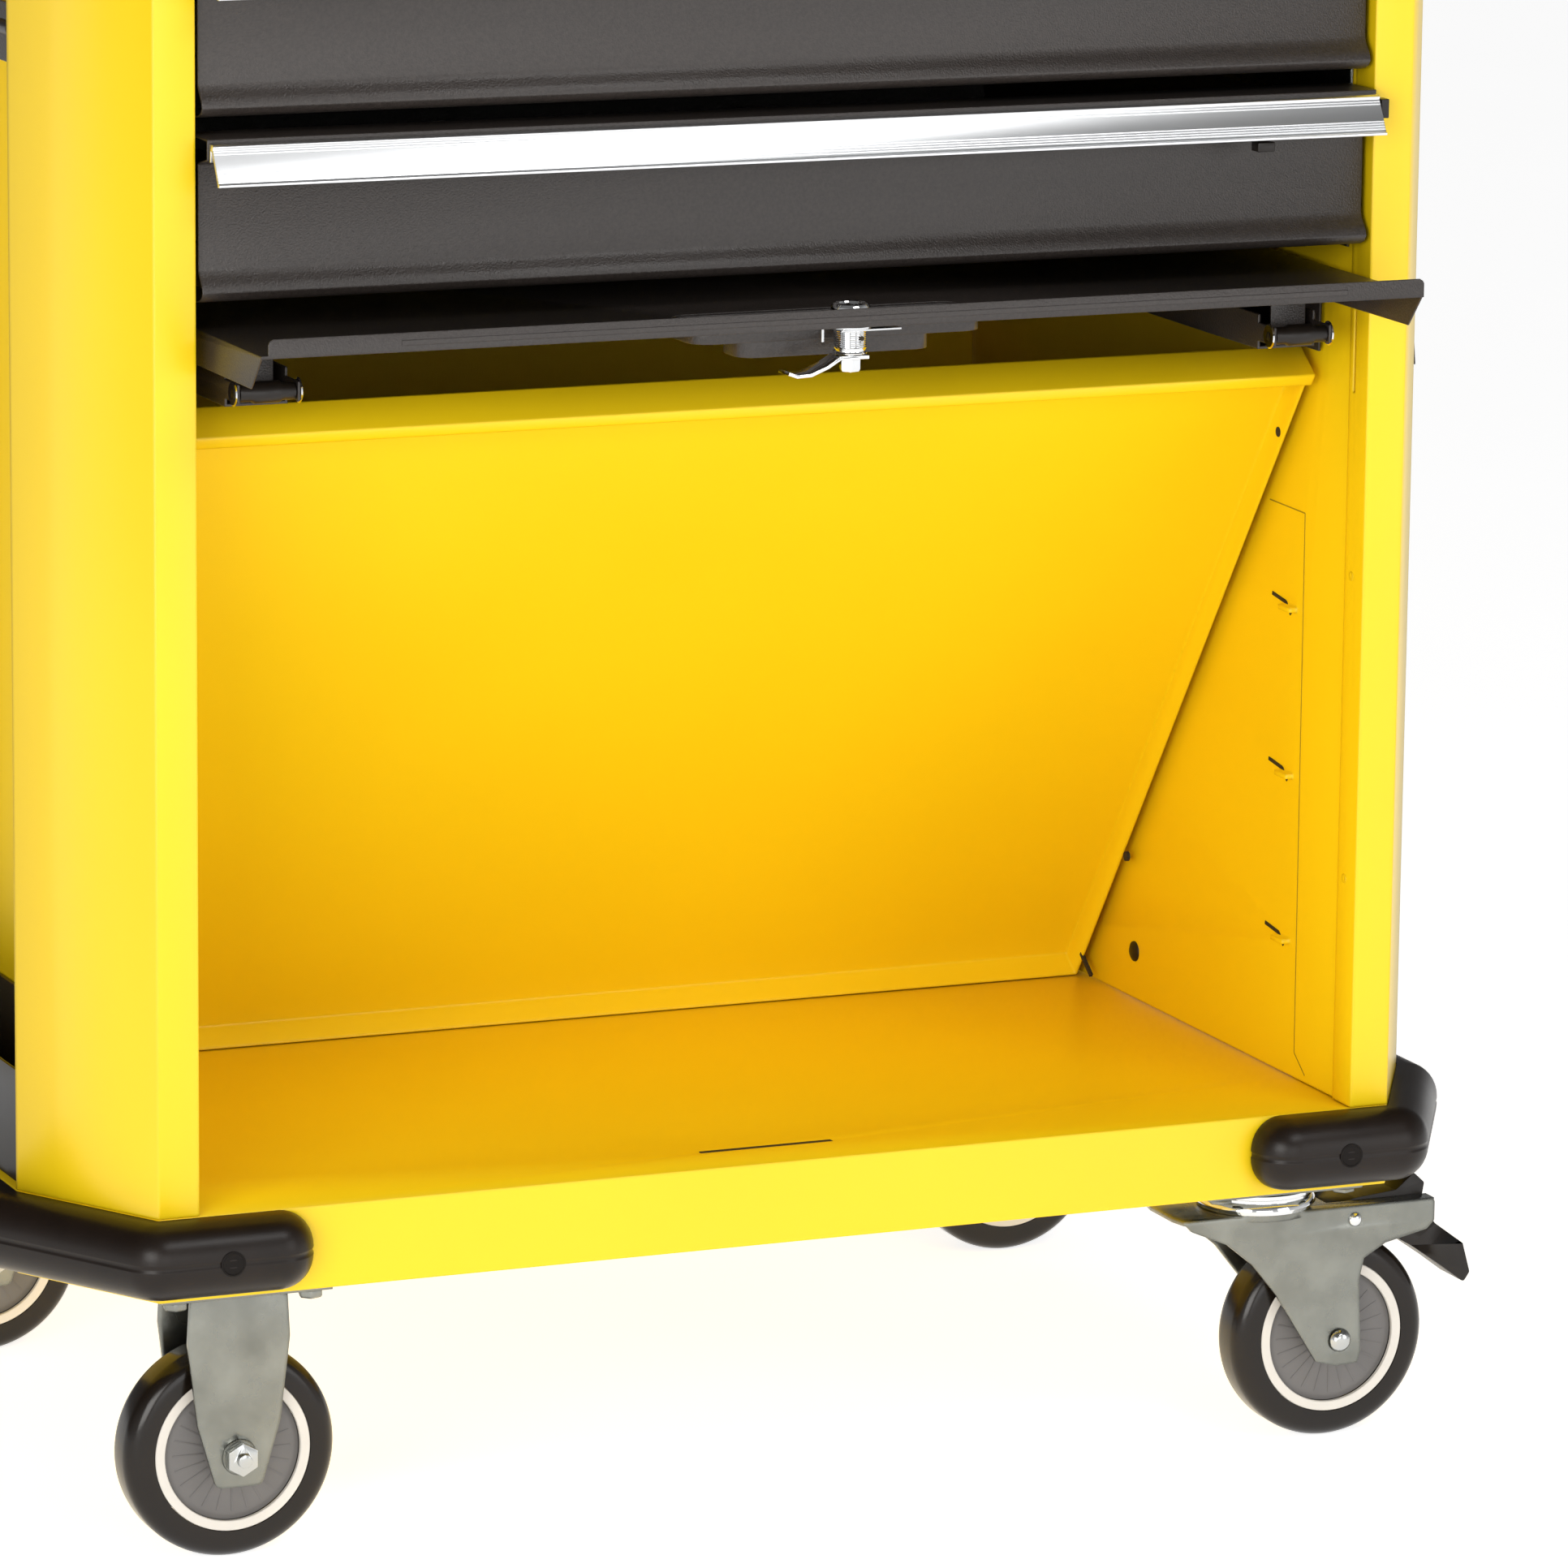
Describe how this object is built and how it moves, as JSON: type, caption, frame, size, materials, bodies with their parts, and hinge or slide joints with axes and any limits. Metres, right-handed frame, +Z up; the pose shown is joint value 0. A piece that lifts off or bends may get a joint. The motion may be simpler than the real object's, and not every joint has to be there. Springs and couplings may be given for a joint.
{
  "type": "rolling tool box",
  "caption": "Steel tool trolley on castors with drawers, a sliding pocket door over an open compartment, a parked shelf and corner bumpers.",
  "frame": {"origin": "middle of the bounding box, on the ground under the castors", "axes": "+Z up, -Y out of the drawer fronts, +X to the right seen from the front, towards the swivel castors"},
  "size_m": [0.915, 0.668, 1.068],
  "materials": {
    "yellow_steel": "smooth glossy powder coat",
    "black_steel": "fine-grained semi-gloss powder coat",
    "aluminium": "extruded, satin with fine ribs",
    "zinc": "zinc plated",
    "chrome": "polished chrome plate",
    "rubber": "moulded, fine grain",
    "tread": "smooth glossy tread",
    "wheel_core": "moulded grey plastic with ribs",
    "black_plastic": "moulded, satin"
  },
  "bodies": {
    "body": {"base_pan": "yellow_steel", "post_front_left": "yellow_steel", "post_front_right": "yellow_steel", "rear_shell": "yellow_steel", "side_panel_left": "yellow_steel", "side_panel_right": "yellow_steel", "top_frame": "yellow_steel", "worktop": "black_plastic", "bumper_front_left": "rubber", "bumper_front_right": "rubber", "bumper_rear_left": "rubber", "bumper_rear_right": "rubber", "leaning_shelf": "yellow_steel", "slide_rack_left": "zinc", "slide_rack_right": "zinc", "door_rail_left": "black_steel", "door_rail_right": "black_steel", "castor_front_left_fork": "zinc", "castor_front_left_axle": "zinc", "castor_rear_left_fork": "zinc", "castor_rear_left_axle": "zinc", "castor_front_right_plate": "zinc", "castor_rear_right_plate": "zinc", "bottle_rail": "black_steel", "bottle_tray": "black_plastic"},
    "drawer_1": {"drawer_1_box": "black_steel", "drawer_1_front": "black_steel", "drawer_1_handle": "aluminium"},
    "drawer_1_catch": {"drawer_1_latch": "black_plastic"},
    "drawer_2": {"drawer_2_box": "black_steel", "drawer_2_front": "black_steel", "drawer_2_handle": "aluminium"},
    "drawer_2_catch": {"drawer_2_latch": "black_plastic"},
    "drawer_3": {"drawer_3_box": "black_steel", "drawer_3_front": "black_steel", "drawer_3_handle": "aluminium"},
    "drawer_3_catch": {"drawer_3_latch": "black_plastic"},
    "door": {"door_panel": "black_steel", "door_cup": "black_steel", "door_carrier_left": "black_plastic", "door_carrier_right": "black_plastic", "lock_barrel": "chrome"},
    "lock_cam": {"lock_cam": "chrome"},
    "roller_left": {"guide_roller_left": "black_plastic"},
    "roller_right": {"guide_roller_right": "black_plastic"},
    "wheel_front_left": {"castor_front_left_tyre": "tread", "castor_front_left_core": "wheel_core"},
    "swivel_front": {"castor_front_right_fork": "zinc", "castor_front_right_axle": "zinc"},
    "wheel_front_right": {"castor_front_right_tyre": "tread", "castor_front_right_core": "wheel_core"},
    "pedal_front": {"castor_front_right_pedal": "black_plastic"},
    "wheel_rear_left": {"castor_rear_left_tyre": "tread", "castor_rear_left_core": "wheel_core"},
    "swivel_rear": {"castor_rear_right_fork": "zinc", "castor_rear_right_axle": "zinc"},
    "wheel_rear_right": {"castor_rear_right_tyre": "tread", "castor_rear_right_core": "wheel_core"},
    "pedal_rear": {"castor_rear_right_pedal": "black_plastic"},
    "side_shelf": {"side_shelf": "black_steel"}
  },
  "joints": [
    {"name": "drawer_1_slide", "type": "slide", "parent": "body", "child": "drawer_1", "axis": [0, -1, 0], "range_m": [0, 0.38]},
    {"name": "drawer_1_catch_slide", "type": "slide", "parent": "drawer_1", "child": "drawer_1_catch", "axis": [1, 0, 0], "range_m": [0, 0.006], "stiffness_N_per_m": 200},
    {"name": "drawer_2_slide", "type": "slide", "parent": "body", "child": "drawer_2", "axis": [0, -1, 0], "range_m": [0, 0.38]},
    {"name": "drawer_2_catch_slide", "type": "slide", "parent": "drawer_2", "child": "drawer_2_catch", "axis": [1, 0, 0], "range_m": [0, 0.006], "stiffness_N_per_m": 200},
    {"name": "drawer_3_slide", "type": "slide", "parent": "body", "child": "drawer_3", "axis": [0, -1, 0], "range_m": [0, 0.38]},
    {"name": "drawer_3_catch_slide", "type": "slide", "parent": "drawer_3", "child": "drawer_3_catch", "axis": [1, 0, 0], "range_m": [0, 0.006], "stiffness_N_per_m": 200},
    {"name": "door_slide", "type": "slide", "parent": "body", "child": "door", "axis": [0, -1, 0], "range_m": [-0.07, 0.36]},
    {"name": "lock_cam_turn", "type": "hinge", "parent": "door", "child": "lock_cam", "pos_m": [0, -0.3215, 0.6845], "axis": [0, 0, 1], "range_deg": [0, 90]},
    {"name": "roller_left_spin", "type": "hinge", "parent": "body", "child": "roller_left", "pos_m": [-0.314, -0.245, 0.6695], "axis": [1, 0, 0], "continuous": true},
    {"name": "roller_right_spin", "type": "hinge", "parent": "body", "child": "roller_right", "pos_m": [0.314, -0.245, 0.6695], "axis": [1, 0, 0], "continuous": true},
    {"name": "wheel_front_left_spin", "type": "hinge", "parent": "body", "child": "wheel_front_left", "pos_m": [-0.325, -0.201, 0.0625], "axis": [0, 1, 0], "continuous": true},
    {"name": "swivel_front_turn", "type": "hinge", "parent": "body", "child": "swivel_front", "pos_m": [0.3195, -0.201, 0.155], "axis": [0, 0, 1], "continuous": true},
    {"name": "wheel_front_right_spin", "type": "hinge", "parent": "swivel_front", "child": "wheel_front_right", "pos_m": [0.3645, -0.201, 0.0625], "axis": [0, 1, 0], "continuous": true},
    {"name": "pedal_front_press", "type": "hinge", "parent": "swivel_front", "child": "pedal_front", "pos_m": [0.373, -0.201, 0.1355], "axis": [0, 1, 0], "range_deg": [0, 8]},
    {"name": "wheel_rear_left_spin", "type": "hinge", "parent": "body", "child": "wheel_rear_left", "pos_m": [-0.325, 0.259, 0.0625], "axis": [0, 1, 0], "continuous": true},
    {"name": "swivel_rear_turn", "type": "hinge", "parent": "body", "child": "swivel_rear", "pos_m": [0.3195, 0.259, 0.155], "axis": [0, 0, 1], "continuous": true},
    {"name": "wheel_rear_right_spin", "type": "hinge", "parent": "swivel_rear", "child": "wheel_rear_right", "pos_m": [0.3645, 0.259, 0.0625], "axis": [0, 1, 0], "continuous": true},
    {"name": "pedal_rear_press", "type": "hinge", "parent": "swivel_rear", "child": "pedal_rear", "pos_m": [0.373, 0.259, 0.1355], "axis": [0, 1, 0], "range_deg": [0, 8]},
    {"name": "side_shelf_fold", "type": "hinge", "parent": "body", "child": "side_shelf", "pos_m": [0.413, 0.029, 0.882], "axis": [0, -1, 0], "range_deg": [0, 85]}
  ]
}
